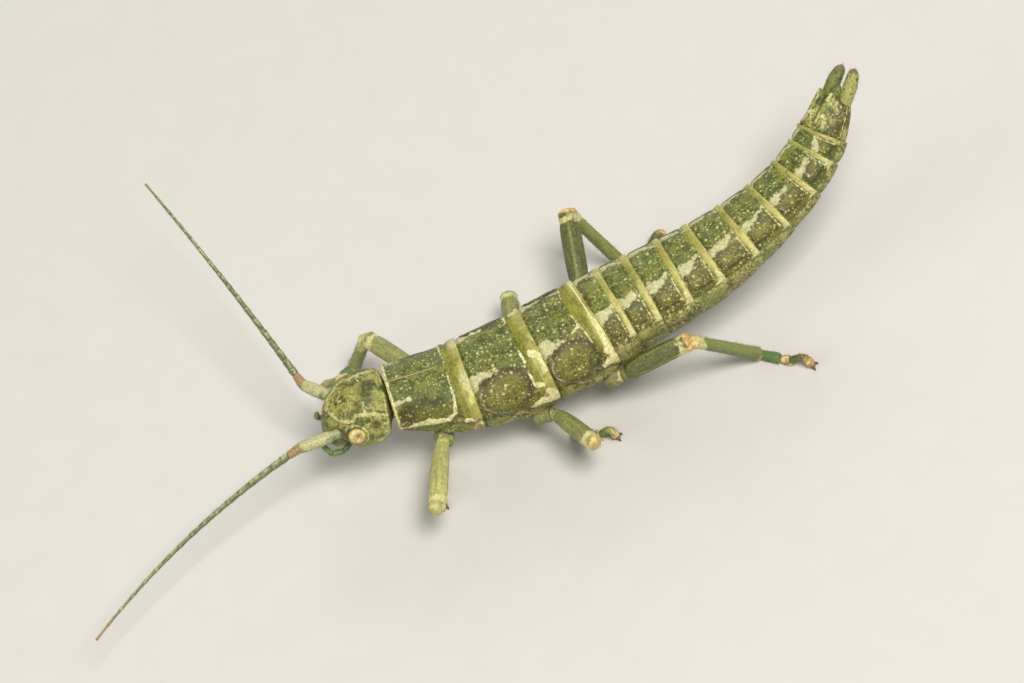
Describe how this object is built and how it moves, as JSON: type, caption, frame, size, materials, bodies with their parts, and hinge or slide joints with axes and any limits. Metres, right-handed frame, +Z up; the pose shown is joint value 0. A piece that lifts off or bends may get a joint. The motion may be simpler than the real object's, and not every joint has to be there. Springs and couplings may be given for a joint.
{
  "type": "stick insect",
  "caption": "Short stout wingless stick insect standing still on six feet, life-size, head low and tail lifted, in mottled olive, yellow-green and white.",
  "frame": {"origin": "on the floor, under the middle of the insect's bounding box", "axes": "+X from head towards tail, +Y towards the insect's right side, +Z up from the floor its feet stand on"},
  "size_m": [0.0314, 0.0158, 0.0064],
  "materials": {
    "cuticle": "finely pebbled insect shell, satin, olive with yellow-green bands and white blotches",
    "eye": "smooth and glossy, creamy buff",
    "feeler": "finely haired, satin teal-green, ringed",
    "leg": "finely haired, satin grey-green with pale blotches",
    "tail_feeler": "finely haired, satin, mottled yellow-green and teal"
  },
  "bodies": {
    "root": {"head": "cuticle", "mouthparts": "cuticle", "prothorax": "cuticle", "mesothorax": "cuticle", "metathorax": "cuticle", "abdomen_1": "cuticle", "abdomen_2": "cuticle", "abdomen_3": "cuticle", "abdomen_4": "cuticle", "abdomen_5": "cuticle", "abdomen_6": "cuticle", "abdomen_7": "cuticle", "abdomen_8": "cuticle", "abdomen_9": "cuticle", "abdomen_10": "cuticle", "anal_plate": "cuticle", "eye_left": "eye", "antenna_left_scape": "feeler", "antenna_left_whip": "feeler", "cercus_left": "tail_feeler", "eye_right": "eye", "antenna_right_scape": "feeler", "antenna_right_whip": "feeler", "cercus_right": "tail_feeler", "coxa_front_left": "leg", "femur_front_left": "leg", "tibia_front_left": "leg", "tarsus_front_left": "leg", "coxa_front_right": "leg", "femur_front_right": "leg", "tibia_front_right": "leg", "tarsus_front_right": "leg", "coxa_mid_left": "leg", "femur_mid_left": "leg", "tibia_mid_left": "leg", "tarsus_mid_left": "leg", "coxa_mid_right": "leg", "femur_mid_right": "leg", "tibia_mid_right": "leg", "tarsus_mid_right": "leg", "coxa_hind_left": "leg", "femur_hind_left": "leg", "tibia_hind_left": "leg", "tarsus_hind_left": "leg", "coxa_hind_right": "leg", "femur_hind_right": "leg", "tibia_hind_right": "leg", "tarsus_hind_right": "leg"}
  },
  "joints": []
}
